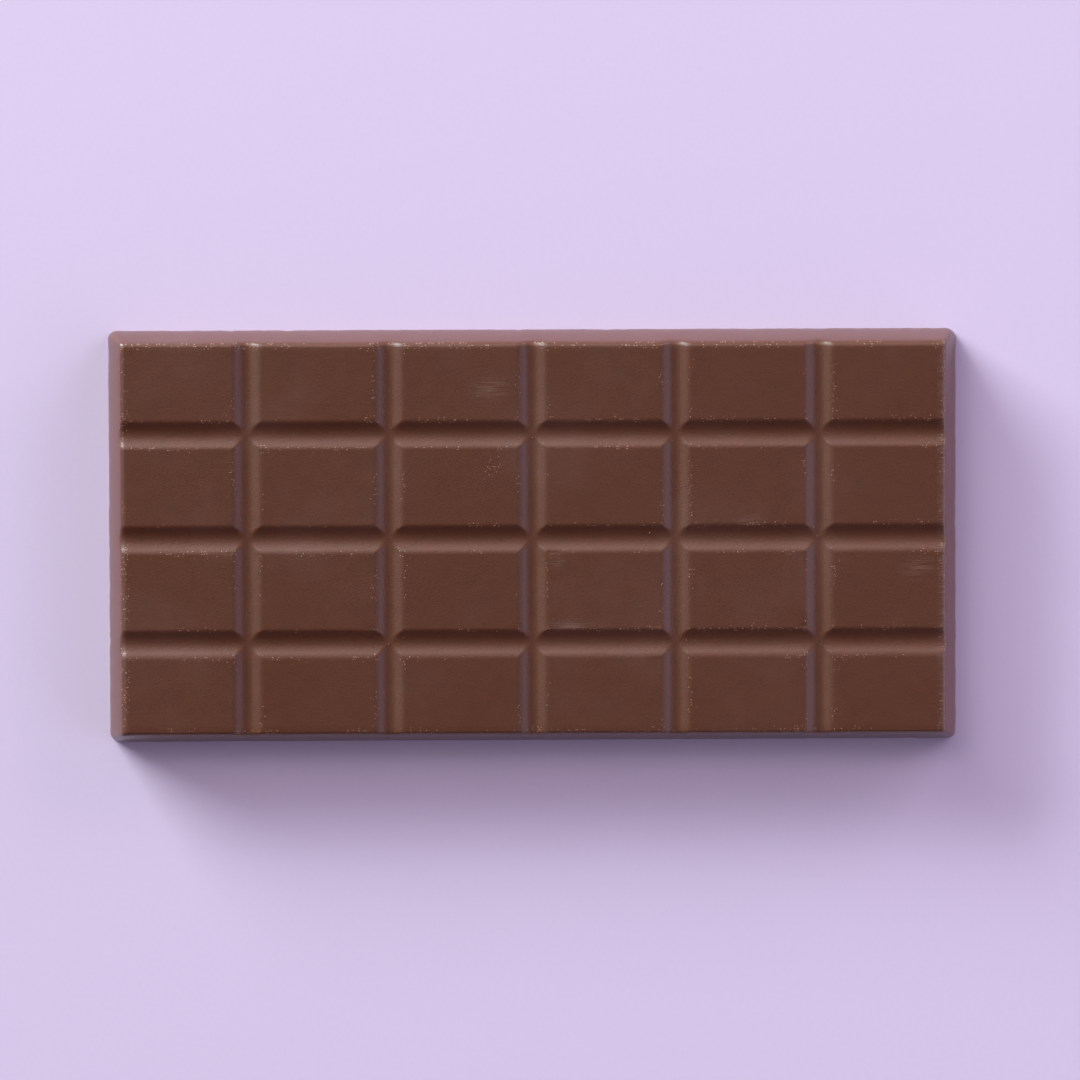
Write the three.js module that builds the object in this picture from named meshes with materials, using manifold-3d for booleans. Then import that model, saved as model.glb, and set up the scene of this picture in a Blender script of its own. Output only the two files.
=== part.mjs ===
// Chocolate bar: a moulded tablet of milk chocolate, one solid piece.
//
// The bar lies on its flat back. Its four sides lean in towards the top, the top edge is
// rounded, and straight grooves with a rounded floor part the top into a grid of
// rectangular segments that can be broken off. X runs along the bar, Y across it, Z up,
// with the origin at the middle of the back. Lengths are in millimetres.

import * as THREE from "three";
import { mergeVertices } from "three/addons/utils/BufferGeometryUtils.js";
import Module from "manifold-3d";

// The bar as a whole.
const BAR_LENGTH = 155;
const BAR_WIDTH = 75.3;
const BAR_HEIGHT = 7.8;

// The sides. A mould needs draft, so each side leans in, the short ends a little more.
const DRAFT = THREE.MathUtils.degToRad(17);
const END_LEAN = 1.06;
const SIDE_LEAN = 0.94;
const BACK_EDGE_RADIUS = 0.35;
const TOP_EDGE_RADIUS = 1;

// The upright corners, round at the back and crisp at the top.
const BACK_CORNER_RADIUS = 1.6;
const TOP_CORNER_RADIUS = 0.5;

// The grid of segments.
const COLUMNS = 6;
const ROWS = 4;
const COLUMN_PITCH = 26.2;
const ROW_PITCH = 19.1;

// The groove between two segments: a round floor, two sloping walls and two rounded edges.
const GROOVE_HALF_WIDTH = 2.95;
const GROOVE_SLOPE = THREE.MathUtils.degToRad(22);
const GROOVE_FLOOR_RADIUS = 4.2;
const GROOVE_EDGE_RADIUS = 2.6;

// How finely the round stretches are divided.
const CORNER_DIVISIONS = 4;
const BACK_EDGE_STEPS = 4;
const TOP_EDGE_STEPS = 8;
const GROOVE_DIVISIONS = 4;

// Room that a groove's cutting bar has beyond the chocolate.
const CUT_CLEARANCE = 2;

// Points of a round edge as steps of [inset, height], between two directions of its normal.
// An angle of 0 points out of the bar and a quarter turn points up.
function roundedEdge(insetOfCentre, heightOfCentre, radius, fromAngle, toAngle, steps) {
  const points = [];
  for (let step = 0; step <= steps; step += 1) {
    const angle = THREE.MathUtils.lerp(fromAngle, toAngle, step / steps);
    const inset = insetOfCentre - radius * Math.cos(angle);
    const height = heightOfCentre + radius * Math.sin(angle);
    points.push([inset, height]);
  }
  return points;
}

// Section through a side, from the back to the top, as [inset, height]. The straight side
// touches both round edges, so the upper one is placed where the leaning side meets it.
function sideProfile() {
  const up = Math.PI / 2;
  const backTouchInset = BACK_EDGE_RADIUS * (1 - Math.cos(DRAFT));
  const backTouchHeight = BACK_EDGE_RADIUS * (1 + Math.sin(DRAFT));
  const topCentreHeight = BAR_HEIGHT - TOP_EDGE_RADIUS;
  const topTouchHeight = topCentreHeight + TOP_EDGE_RADIUS * Math.sin(DRAFT);
  const sideRun = (topTouchHeight - backTouchHeight) * Math.tan(DRAFT);
  const topCentreInset = backTouchInset + sideRun + TOP_EDGE_RADIUS * Math.cos(DRAFT);
  return [
    ...roundedEdge(BACK_EDGE_RADIUS, BACK_EDGE_RADIUS, BACK_EDGE_RADIUS, -up, 0, BACK_EDGE_STEPS),
    [backTouchInset, backTouchHeight],
    ...roundedEdge(topCentreInset, topCentreHeight, TOP_EDGE_RADIUS, DRAFT, up, TOP_EDGE_STEPS),
  ];
}

// Outline of the bar at one height, counter-clockwise seen from above.
function outline(insetAtEnds, insetAtSides, cornerRadius) {
  const cornerX = BAR_LENGTH / 2 - insetAtEnds - cornerRadius;
  const cornerY = BAR_WIDTH / 2 - insetAtSides - cornerRadius;
  const quarter = Math.PI / 2;
  const shape = new THREE.Shape();
  shape.absarc(cornerX, cornerY, cornerRadius, 0, quarter);
  shape.absarc(-cornerX, cornerY, cornerRadius, quarter, 2 * quarter);
  shape.absarc(-cornerX, -cornerY, cornerRadius, 2 * quarter, 3 * quarter);
  shape.absarc(cornerX, -cornerY, cornerRadius, 3 * quarter, 4 * quarter);
  return shape.getPoints(CORNER_DIVISIONS);
}

// One outline for each step of the side profile, each with its height.
function outlineRings() {
  const profile = sideProfile();
  return profile.map(([inset, height]) => {
    const cornerRadius = THREE.MathUtils.lerp(
      BACK_CORNER_RADIUS, TOP_CORNER_RADIUS, height / BAR_HEIGHT,
    );
    const points = outline(inset * END_LEAN, inset * SIDE_LEAN, cornerRadius);
    return { points, height };
  });
}

// Triangles of the band between each ring and the next, facing out.
function bandTriangles(ringCount, ringSize) {
  const triangles = [];
  for (let ring = 0; ring < ringCount - 1; ring += 1) {
    for (let place = 0; place < ringSize; place += 1) {
      const next = (place + 1) % ringSize;
      const low = ring * ringSize;
      const high = low + ringSize;
      triangles.push(low + place, low + next, high + next);
      triangles.push(low + place, high + next, high + place);
    }
  }
  return triangles;
}

// Triangles of the flat back, facing down, and of the flat top, facing up.
function capTriangles(rings) {
  const ringSize = rings[0].points.length;
  const topStart = (rings.length - 1) * ringSize;
  const back = THREE.ShapeUtils.triangulateShape(rings[0].points, []);
  const top = THREE.ShapeUtils.triangulateShape(rings[rings.length - 1].points, []);
  return [
    ...back.flatMap(([a, b, c]) => [a, c, b]),
    ...top.flatMap(([a, b, c]) => [topStart + a, topStart + b, topStart + c]),
  ];
}

// The bar before its grooves are cut: the rings joined from the back to the top.
function blankGeometry() {
  const rings = outlineRings();
  const positions = rings.flatMap(({ points, height }) =>
    points.flatMap((point) => [point.x, point.y, height]),
  );
  const geometry = new THREE.BufferGeometry();
  geometry.setAttribute("position", new THREE.Float32BufferAttribute(positions, 3));
  geometry.setIndex([
    ...bandTriangles(rings.length, rings[0].points.length),
    ...capTriangles(rings),
  ]);
  return geometry;
}

// Depth of a groove. The round edge and the round floor each turn through the slope, and
// the straight wall covers the width that they leave.
function grooveDepth() {
  const radii = GROOVE_FLOOR_RADIUS + GROOVE_EDGE_RADIUS;
  const wallRun = GROOVE_HALF_WIDTH - radii * Math.sin(GROOVE_SLOPE);
  return radii * (1 - Math.cos(GROOVE_SLOPE)) + wallRun * Math.tan(GROOVE_SLOPE);
}

// Section of what a groove takes away, with the groove's middle at 0 and heights as built.
function grooveSection() {
  const up = Math.PI / 2;
  const edgeHeight = BAR_HEIGHT - GROOVE_EDGE_RADIUS;
  const floorHeight = BAR_HEIGHT - grooveDepth() + GROOVE_FLOOR_RADIUS;
  const shape = new THREE.Shape();
  shape.absarc(-GROOVE_HALF_WIDTH, edgeHeight, GROOVE_EDGE_RADIUS, up, up - GROOVE_SLOPE, true);
  shape.absarc(0, floorHeight, GROOVE_FLOOR_RADIUS, -up - GROOVE_SLOPE, -up + GROOVE_SLOPE);
  shape.absarc(GROOVE_HALF_WIDTH, edgeHeight, GROOVE_EDGE_RADIUS, up + GROOVE_SLOPE, up, true);
  shape.lineTo(GROOVE_HALF_WIDTH, BAR_HEIGHT + CUT_CLEARANCE);
  shape.lineTo(-GROOVE_HALF_WIDTH, BAR_HEIGHT + CUT_CLEARANCE);
  shape.closePath();
  return shape;
}

// A straight cutting bar with the groove's section, along Y and centred on the origin.
function grooveCutter(barSpan) {
  const length = barSpan + 2 * CUT_CLEARANCE;
  const geometry = new THREE.ExtrudeGeometry(grooveSection(), {
    depth: length,
    curveSegments: GROOVE_DIVISIONS,
    bevelEnabled: false,
  });
  geometry.rotateX(Math.PI / 2);
  geometry.translate(0, length / 2, 0);
  return geometry;
}

// Middles of the grooves along one direction, evenly spaced about 0.
function groovePlaces(segmentCount, pitch) {
  const grooveCount = segmentCount - 1;
  return Array.from({ length: grooveCount }, (_, index) => (index - (grooveCount - 1) / 2) * pitch);
}

// Every cutting bar in its place: those across the bar, then those along it.
function grooveCutters() {
  const acrossBar = groovePlaces(COLUMNS, COLUMN_PITCH).map((place) =>
    grooveCutter(BAR_WIDTH).translate(place, 0, 0),
  );
  const alongBar = groovePlaces(ROWS, ROW_PITCH).map((place) =>
    grooveCutter(BAR_LENGTH).rotateZ(Math.PI / 2).translate(0, place, 0),
  );
  return [...acrossBar, ...alongBar];
}

// A closed geometry as a solid that can be cut.
function toSolid(wasm, geometry) {
  const bare = geometry.clone();
  bare.deleteAttribute("normal");
  bare.deleteAttribute("uv");
  const merged = mergeVertices(bare, 1e-4);
  const mesh = new wasm.Mesh({
    numProp: 3,
    vertProperties: merged.attributes.position.array,
    triVerts: new Uint32Array(merged.index.array),
  });
  return new wasm.Manifold(mesh);
}

// A cut solid as a geometry with flat facets.
function toGeometry(solid) {
  const mesh = solid.getMesh();
  const indexed = new THREE.BufferGeometry();
  indexed.setAttribute("position", new THREE.BufferAttribute(mesh.vertProperties, 3));
  indexed.setIndex(new THREE.BufferAttribute(mesh.triVerts, 1));
  const geometry = indexed.toNonIndexed();
  geometry.computeVertexNormals();
  return geometry;
}

// The whole bar: the blank with all its grooves cut.
function barGeometry(wasm) {
  const blank = toSolid(wasm, blankGeometry());
  const cutters = grooveCutters().map((cutter) => toSolid(wasm, cutter));
  return toGeometry(blank.subtract(wasm.Manifold.union(cutters)));
}

const wasm = await Module();
wasm.setup();

const milkChocolate = new THREE.MeshStandardMaterial({
  name: "milk_chocolate",
  color: 0x5c3a2e,
  roughness: 0.45,
  metalness: 0,
});

const bar = new THREE.Mesh(barGeometry(wasm), milkChocolate);
bar.name = "chocolate_bar";

const part = new THREE.Group();
part.add(bar);

export default part;
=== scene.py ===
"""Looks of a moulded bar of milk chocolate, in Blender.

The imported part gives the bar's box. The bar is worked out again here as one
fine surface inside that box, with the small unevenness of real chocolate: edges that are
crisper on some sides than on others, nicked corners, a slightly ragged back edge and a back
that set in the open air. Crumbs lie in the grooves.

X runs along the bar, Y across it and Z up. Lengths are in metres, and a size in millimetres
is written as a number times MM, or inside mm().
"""

import logging
import math
from dataclasses import dataclass
from enum import Enum
from typing import Any

import bpy
import numpy as np
from mathutils import Matrix, Vector
from numpy.typing import NDArray


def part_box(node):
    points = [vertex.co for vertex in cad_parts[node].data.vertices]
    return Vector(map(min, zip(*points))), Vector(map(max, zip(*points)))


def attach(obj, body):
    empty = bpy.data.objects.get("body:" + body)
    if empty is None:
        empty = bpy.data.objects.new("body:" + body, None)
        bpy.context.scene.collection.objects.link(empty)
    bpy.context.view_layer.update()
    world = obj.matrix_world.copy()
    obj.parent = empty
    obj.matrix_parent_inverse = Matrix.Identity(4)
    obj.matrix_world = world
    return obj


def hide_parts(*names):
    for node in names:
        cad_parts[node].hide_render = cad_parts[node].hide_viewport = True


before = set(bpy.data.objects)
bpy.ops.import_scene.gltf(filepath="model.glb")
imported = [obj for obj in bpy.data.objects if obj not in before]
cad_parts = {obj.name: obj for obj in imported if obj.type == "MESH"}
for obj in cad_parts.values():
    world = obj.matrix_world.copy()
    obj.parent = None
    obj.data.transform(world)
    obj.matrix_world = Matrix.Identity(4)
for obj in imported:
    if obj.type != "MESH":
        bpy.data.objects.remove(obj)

Array = NDArray[np.float64]
Indices = NDArray[np.int64]
Socket = bpy.types.NodeSocket

MM = 0.001
PER_MM = 1000.0
BAR_NODE = "chocolate_bar"
BODY = "root"

# Keeps a share from being divided by nothing where neither groove reaches.
TINY = 1e-12

log = logging.getLogger("bar")


def mm(*sizes: float) -> tuple[float, ...]:
    """Turns sizes in millimetres into metres."""
    return tuple(size * MM for size in sizes)


def linear(hex_colour: str, alpha: float = 1.0) -> tuple[float, float, float, float]:
    """Turns an sRGB hex colour into linear light.

    A channel c up to 0.04045 becomes c / 12.92, and any other ((c + 0.055) / 1.055) ** 2.4.

    Args:
        hex_colour: Six hex digits, red first.
        alpha: How opaque the colour is.

    Returns:
        Red, green, blue and alpha, each from 0 to 1.
    """
    channels = np.array([int(hex_colour[place:place + 2], 16) for place in (0, 2, 4)]) / 255
    light = np.where(channels <= 0.04045, channels / 12.92, ((channels + 0.055) / 1.055) ** 2.4)
    red, green, blue = (float(channel) for channel in light)
    return red, green, blue, alpha


def smooth_step(values: Array, start: float, end: float) -> Array:
    """Rises from 0 at start to 1 at end along 3t^2 - 2t^3, and stays level outside.

    Args:
        values: Where the step is wanted.
        start: The value at which it leaves 0.
        end: The value at which it reaches 1, which may be below start.

    Returns:
        The height of the step at each value.
    """
    share = np.clip((values - start) / (end - start), 0, 1)
    return share * share * (3 - 2 * share)


def add_node(
    tree: bpy.types.NodeTree,
    kind: str,
    settings: dict[str, Any] | None = None,
    inputs: dict[str | int, Any] | None = None,
) -> bpy.types.Node:
    """Adds a node to a tree, sets it up and links it.

    Args:
        tree: The material's or world's node tree.
        kind: The node's type name.
        settings: The node's own properties and their values.
        inputs: For each input, by name or place, a value or another node's output.

    Returns:
        The new node.
    """
    node = tree.nodes.new(kind)
    for name, value in (settings or {}).items():
        setattr(node, name, value)
    for name, value in (inputs or {}).items():
        if isinstance(value, Socket):
            tree.links.new(value, node.inputs[name])
        else:
            node.inputs[name].default_value = value
    return node


def new_material(name: str) -> tuple[bpy.types.Material, bpy.types.NodeTree]:
    """Makes a material with an empty node tree.

    Args:
        name: The material's name.

    Returns:
        The material and its tree.
    """
    material = bpy.data.materials.new(name)
    material.use_nodes = True
    material.node_tree.nodes.clear()
    return material, material.node_tree


def new_piece(name: str, points: Array, faces: list[list[int]]) -> bpy.types.Object:
    """Puts points and faces into a smooth-shaded mesh object at the origin.

    Args:
        name: The piece's name.
        points: One row of x, y and z for each vertex, in metres.
        faces: The vertices of each face, counter-clockwise seen from outside.

    Returns:
        The object, linked to the scene.
    """
    mesh = bpy.data.meshes.new(name)
    mesh.from_pydata(points.tolist(), [], faces)
    mesh.polygons.foreach_set("use_smooth", np.ones(len(mesh.polygons), bool))
    mesh.update()
    piece = bpy.data.objects.new(name, mesh)
    bpy.context.scene.collection.objects.link(piece)
    return piece


def even_places(start: float, end: float, step: float) -> Array:
    """Places from start to end, evenly about a step apart, in no fewer than two steps."""
    return np.linspace(start, end, max(2, round((end - start) / step)) + 1)


def bands_between(rings: Indices) -> Indices:
    """Joins each closed ring of vertices to the next with quads.

    A quad takes two neighbours of the lower ring, then the same two of the ring above it, so
    that it faces out where the rings run counter-clockwise from the top down.

    Args:
        rings: Vertex numbers, with one row for each ring, from the top down.

    Returns:
        Four vertex numbers for each quad.
    """
    after = np.roll(rings, -1, axis=1)
    return np.stack([rings[1:], after[1:], after[:-1], rings[:-1]], axis=-1).reshape(-1, 4)


@dataclass(frozen=True)
class Ripples:
    """Smooth unevenness: the sum of plane waves in random directions, mostly within -2 to 2."""

    wavelength: float
    seed: int
    waves: int = 20
    spread: tuple[float, float] = (0.7, 1.5)

    def at(self, x: Array, y: Array) -> Array:
        """Adds up the waves at each place.

        Each wave is cos(kx x + ky y + phase). The sum is divided by the square root of half
        their number, so that its standard deviation is 1.

        Args:
            x: Places along the bar.
            y: Places across it, of a shape that broadcasts with x.

        Returns:
            The height of the ripples at each place.
        """
        draw = np.random.default_rng(self.seed)
        direction = draw.uniform(0, 2 * np.pi, self.waves)
        number = 2 * np.pi / (self.wavelength * draw.uniform(*self.spread, self.waves))
        phase = draw.uniform(0, 2 * np.pi, self.waves)
        across, along = number * np.cos(direction), number * np.sin(direction)
        turns = x[..., None] * across + y[..., None] * along + phase
        return np.cos(turns).sum(axis=-1) / math.sqrt(self.waves / 2)

    def share(self, x: Array, y: Array) -> Array:
        """Gives one half plus a quarter of the ripples, which is mostly within 0 and 1."""
        return 0.5 + 0.25 * self.at(x, y)


@dataclass(frozen=True)
class GrooveEdge:
    """The upper edge of a groove: a crisp first turn, then a rounded turn up to the wall.

    Both fields may be arrays, with one value for each place on the top.
    """

    radius: Array
    crisp_turn: Array


@dataclass(frozen=True)
class GrooveSection:
    """Section of a groove: a round floor, two straight sloping walls and two upper edges.

    The slope grows from 0 at the flat top to the crisp turn over an arc of crisp_radius, from
    there to the full slope over an arc of the edge's radius, stays level along the wall, and
    falls back to 0 over the floor's arc.
    """

    depth: float
    slope: float
    floor_radius: float
    crisp_radius: float = 0.8 * MM
    crisp_steps: int = 2
    edge_steps: int = 6
    wall_steps: int = 2
    floor_steps: int = 6
    guard: float = 0.2 * MM

    def _marks(self, edge: GrooveEdge) -> tuple[Array, Array, Array, Array, Array]:
        """Finds where each stretch ends.

        An arc of radius r between two slopes runs by r times the difference of their sines
        and falls by r times the difference of their cosines. The straight wall makes up the
        rest of the depth.

        Args:
            edge: The upper edge.

        Returns:
            Distance and drop at the end of the crisp arc, the same at the end of the rounded
            arc, and the distance at the end of the wall.
        """
        crisp_end = self.crisp_radius * np.sin(edge.crisp_turn)
        crisp_drop = self.crisp_radius * (1 - np.cos(edge.crisp_turn))
        edge_end = crisp_end + edge.radius * (math.sin(self.slope) - np.sin(edge.crisp_turn))
        edge_drop = crisp_drop + edge.radius * (np.cos(edge.crisp_turn) - math.cos(self.slope))
        floor_rise = self.floor_radius * (1 - math.cos(self.slope))
        wall_end = edge_end + (self.depth - floor_rise - edge_drop) / math.tan(self.slope)
        return crisp_end, crisp_drop, edge_end, edge_drop, wall_end

    def width(self, edge: GrooveEdge) -> Array:
        """Width of one side of the groove, from the flat top to its middle."""
        return self._marks(edge)[-1] + self.floor_radius * math.sin(self.slope)

    def drop(self, distance: Array, edge: GrooveEdge) -> Array:
        """Gives how far the surface lies below the flat top.

        Args:
            distance: How far each place is from the edge of the flat top, towards the groove.
            edge: The upper edge, with fields of a shape that broadcasts.

        Returns:
            The drop at each place: two arcs, a straight wall, an arc and the depth.
        """
        crisp_end, crisp_drop, edge_end, edge_drop, wall_end = self._marks(edge)
        width = wall_end + self.floor_radius * math.sin(self.slope)
        crisp = self.crisp_radius - np.sqrt(np.maximum(self.crisp_radius**2 - distance**2, 0))
        run = distance - crisp_end + edge.radius * np.sin(edge.crisp_turn)
        height = np.sqrt(np.maximum(edge.radius**2 - run**2, 0))
        rounded = crisp_drop + edge.radius * np.cos(edge.crisp_turn) - height
        wall = edge_drop + (distance - edge_end) * math.tan(self.slope)
        reach = np.maximum(self.floor_radius**2 - (width - distance) ** 2, 0)
        floor = self.depth - self.floor_radius + np.sqrt(reach)
        stretches = [
            distance <= 0,
            distance < crisp_end,
            distance < edge_end,
            distance < wall_end,
            distance < width,
        ]
        return np.select(stretches, [0 * wall, crisp, rounded, wall, floor], self.depth)

    def stations(self, edge: GrooveEdge) -> Array:
        """Gives the distances from the flat top's edge at which the surface has a line.

        Args:
            edge: The upper edge, with plain numbers as fields.

        Returns:
            Rising distances, from a guard line just inside the flat top to the middle.
        """
        crisp_end, _, edge_end, _, wall_end = self._marks(edge)
        crisp = np.linspace(0, crisp_end, self.crisp_steps + 1)[:-1] if crisp_end else np.array([])
        rounded = np.linspace(crisp_end, edge_end, self.edge_steps + 1)
        wall = np.linspace(edge_end, wall_end, self.wall_steps + 1)[1:-1]
        floor = np.linspace(wall_end, self.width(edge), self.floor_steps + 1)
        return np.concatenate([[-self.guard], crisp, rounded, wall, floor])


@dataclass(frozen=True)
class GrooveSet:
    """The parallel grooves that cut one direction of the bar.

    Each groove has its own two edge radii, since the mould was polished by hand, and its own
    small shift from even spacing.
    """

    pitch: float
    low_edges: tuple[float, ...]
    high_edges: tuple[float, ...]
    shifts: tuple[float, ...]
    section: GrooveSection
    low_crisp_turn: float = 0.0

    def edges(self) -> tuple[GrooveEdge, GrooveEdge]:
        """The low and the high edges of all grooves."""
        low, high = np.array(self.low_edges), np.array(self.high_edges)
        return GrooveEdge(low, self.low_crisp_turn + 0 * low), GrooveEdge(high, 0 * high)

    def centres(self) -> Array:
        """Works out where each groove is deepest.

        A groove is centred on its even place plus its shift, and its deepest line lies off
        that centre by half the difference of the widths of its two sides.

        Returns:
            The rising places of the deepest lines.
        """
        low, high = self.edges()
        count = len(self.shifts)
        middles = (np.arange(count) - (count - 1) / 2) * self.pitch + np.array(self.shifts)
        return middles + (self.section.width(low) - self.section.width(high)) / 2

    def measure(self, places: Array) -> tuple[Array, GrooveEdge, Array]:
        """Finds where each place lies in the section of its nearest groove.

        Args:
            places: Places along the direction that the grooves cut.

        Returns:
            The share of the way from the flat top's edge to the groove's middle, held within
            0 and 1, then the edge on that side, and the distance beyond the edge.
        """
        last = len(self.shifts) - 1
        nearest = np.clip(np.rint(places / self.pitch + last / 2).astype(int), 0, last)
        offset = places - self.centres()[nearest]
        low, high = self.edges()
        on_low = offset < 0
        edge = GrooveEdge(
            np.where(on_low, low.radius[nearest], high.radius[nearest]),
            np.where(on_low, low.crisp_turn[nearest], high.crisp_turn[nearest]),
        )
        width = self.section.width(edge)
        beyond = width - np.abs(offset)
        return np.clip(beyond / width, 0, 1), edge, beyond

    def lines(self, half_span: float, flat_step: float) -> Array:
        """Places lines close together in the grooves and evenly over the flats.

        Args:
            half_span: Where the first and last lines lie.
            flat_step: About how far apart the lines are on a flat top.

        Returns:
            The rising places of all lines.
        """
        stretches = [np.array([-half_span])]
        start = -half_span
        low_edges, high_edges = self.edges()
        for place, centre in enumerate(self.centres()):
            low = GrooveEdge(low_edges.radius[place], low_edges.crisp_turn[place])
            high = GrooveEdge(high_edges.radius[place], high_edges.crisp_turn[place])
            down = centre - self.section.width(low) + self.section.stations(low)
            up = centre + self.section.width(high) - self.section.stations(high)
            stretches += [even_places(start, down[0], flat_step)[1:-1], down, up[-2::-1]]
            start = up[0]
        stretches.append(even_places(start, half_span, flat_step)[1:])
        return np.concatenate(stretches)


@dataclass(frozen=True)
class TopRelief:
    """How far the top lies below its flats: both sets of grooves and the nicked corners.

    The rim's middle and reach are distances from the edge of a flat, and it stops at the share
    rim_end of the way into a crossing groove. A nick's offset is from the middle of each groove.
    """

    across: GrooveSet
    along: GrooveSet
    crispness: float = 9.0
    rim_middle: float = 0.3 * MM
    rim_reach: float = 0.55 * MM
    rim_end: float = 0.35
    nicks: int = 9
    nick_seed: int = 5
    nick_offset: tuple[float, ...] = mm(2.6, 3.2)
    nick_radius: tuple[float, ...] = mm(0.22, 0.42)
    nick_depth: tuple[float, ...] = mm(0.05, 0.12)

    def drop(self, x: Array, y: Array) -> Array:
        """Works out the drop where grooves cut the bar both ways.

        u and v are the shares of the way into the nearest groove of each set. Their joint
        share t = (u^p + v^p)^(1/p) turns the corner of a segment with a narrow round, and
        the two sections at t are mixed in proportion to u^p and v^p.

        Args:
            x: Places along the bar.
            y: Places across it, of a shape that broadcasts with x.

        Returns:
            The drop below the flat top at each place.
        """
        x, y = np.broadcast_arrays(x, y)
        u, edge_x, _ = self.across.measure(x)
        v, edge_y, _ = self.along.measure(y)
        weight_x, weight_y = u**self.crispness, v**self.crispness
        total = weight_x + weight_y
        joint = np.clip(total ** (1 / self.crispness), 0, 1)
        drop_x = self.across.section.drop(joint * self.across.section.width(edge_x), edge_x)
        drop_y = self.along.section.drop(joint * self.along.section.width(edge_y), edge_y)
        share = weight_x / np.maximum(total, TINY)
        return share * drop_x + (1 - share) * drop_y + self._nick_drop(x, y)

    def rim(self, x: Array, y: Array) -> Array:
        """Marks the rounded edges of the segments, where chocolate chips and bubbles show.

        Args:
            x: Places along the bar.
            y: Places across it, of a shape that broadcasts with x.

        Returns:
            1 along the edges, falling to 0 within about a millimetre on both sides.
        """
        x, y = np.broadcast_arrays(x, y)
        u, _, beyond_x = self.across.measure(x)
        v, _, beyond_y = self.along.measure(y)
        near_x = np.exp(-(((beyond_x - self.rim_middle) / self.rim_reach) ** 2)) * (v < self.rim_end)
        near_y = np.exp(-(((beyond_y - self.rim_middle) / self.rim_reach) ** 2)) * (u < self.rim_end)
        return np.maximum(near_x, near_y)

    def _nick_drop(self, x: Array, y: Array) -> Array:
        """Adds small bell-shaped dents at corners of segments, beside a crossing of two grooves.

        Args:
            x: Places along the bar.
            y: Places across it, of the same shape.

        Returns:
            The depth of the dents at each place.
        """
        draw = np.random.default_rng(self.nick_seed)
        middle_x = draw.choice(self.across.centres(), self.nicks)
        middle_y = draw.choice(self.along.centres(), self.nicks)
        side_x = draw.choice([-1, -1, 1], self.nicks)
        side_y = draw.choice([1, 1, -1], self.nicks)
        nick_x = middle_x + side_x * draw.uniform(*self.nick_offset, self.nicks)
        nick_y = middle_y + side_y * draw.uniform(*self.nick_offset, self.nicks)
        radius = draw.uniform(*self.nick_radius, self.nicks)
        depth = draw.uniform(*self.nick_depth, self.nicks)
        apart = (x[..., None] - nick_x) ** 2 + (y[..., None] - nick_y) ** 2
        return (depth * np.exp(-apart / radius**2)).sum(axis=-1)


class Side(Enum):
    """The four sides in the order that the rim passes them, with the quarter turn each faces."""

    EAST = 0
    NORTH = 1
    WEST = 2
    SOUTH = 3


@dataclass(frozen=True)
class Rim:
    """Places round the bar, counter-clockwise seen from above, that every ring shares."""

    anchor: Indices
    angle: Array
    sign_x: Array
    sign_y: Array
    fixed_x: Array
    fixed_y: Array
    edge_radius: Array
    corner_radius: Array


@dataclass(frozen=True)
class SideForm:
    """The leaning sides with their round top edge, back edge and upright corners.

    The wall leans by the draft on the whole. It is bowed outwards a little, so that it leans by
    the draft less the bow where it leaves the back edge, and by their sum under the top edge.
    The leans then stretch how far in the two ends, the north side and the south side come.
    """

    draft: float = math.radians(17)
    bow: float = math.radians(5)
    end_lean: float = 1.06
    side_lean: float = 0.94
    south_lean: float = 0.74
    back_edge_radius: float = 0.35 * MM
    top_corner_radius: float = 0.5 * MM
    least_corner_radius: float = 0.3 * MM
    back_insets: tuple[float, ...] = mm(1.0, 2.2)
    edge_steps: int = 7
    wall_steps: int = 7
    back_steps: int = 5

    def top_inset(self, top_height: Array, edge_radius: Array) -> Array:
        """Gives how far in from the back's outline the flat top ends.

        The wall touches both round edges, and runs in by its height times the tangent of the
        draft.

        Args:
            top_height: Height of the top at each place of the rim.
            edge_radius: Radius of the top edge there.

        Returns:
            The inset of the middle of the top edge's arc.
        """
        foot, head = self.draft - self.bow, self.draft + self.bow
        touch_inset = self.back_edge_radius * (1 - math.cos(foot))
        touch_height = self.back_edge_radius * (1 + math.sin(foot))
        wall_top = top_height - edge_radius * (1 - math.sin(head))
        run = (wall_top - touch_height) * math.tan(self.draft)
        return touch_inset + run + edge_radius * math.cos(head)

    def profile(self, top_height: Array, edge_radius: Array) -> tuple[Array, Array]:
        """Works out the section of the side at each place of the rim, from the top down.

        Args:
            top_height: Height of the top at each place of the rim.
            edge_radius: Radius of the top edge there.

        Returns:
            Insets and heights, with one row for each ring and one column for each place.
        """
        inset_middle = self.top_inset(top_height, edge_radius)
        turn = np.linspace(math.pi / 2, self.draft + self.bow, self.edge_steps + 1)[:, None]
        edge_inset = inset_middle - edge_radius * np.cos(turn)
        edge_height = top_height - edge_radius * (1 - np.sin(turn))
        turn = np.linspace(self.draft - self.bow, -math.pi / 2, self.back_steps + 1)[:, None]
        back_inset = self.back_edge_radius * (1 - np.cos(turn)) + 0 * top_height
        back_height = self.back_edge_radius * (1 + np.sin(turn)) + 0 * top_height
        share = np.linspace(0, 1, self.wall_steps + 1)[1:-1, None]
        wall_height = edge_height[-1] + share * (back_height[0] - edge_height[-1])
        bulge = (edge_height[-1] - back_height[0]) * math.tan(self.bow) * share * (1 - share)
        wall_inset = edge_inset[-1] + share * (back_inset[0] - edge_inset[-1]) - bulge
        insets = np.concatenate([edge_inset, wall_inset, back_inset])
        heights = np.concatenate([edge_height, wall_height, back_height])
        return insets, heights


@dataclass(frozen=True)
class Noise:
    """A soft noise: the width of its patches in millimetres, and its levels of detail."""

    size: float
    detail: float


@dataclass(frozen=True)
class Rise:
    """Where a mask starts to rise from 0, and where it reaches 1, which may be below its start."""

    start: float
    full: float


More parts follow.
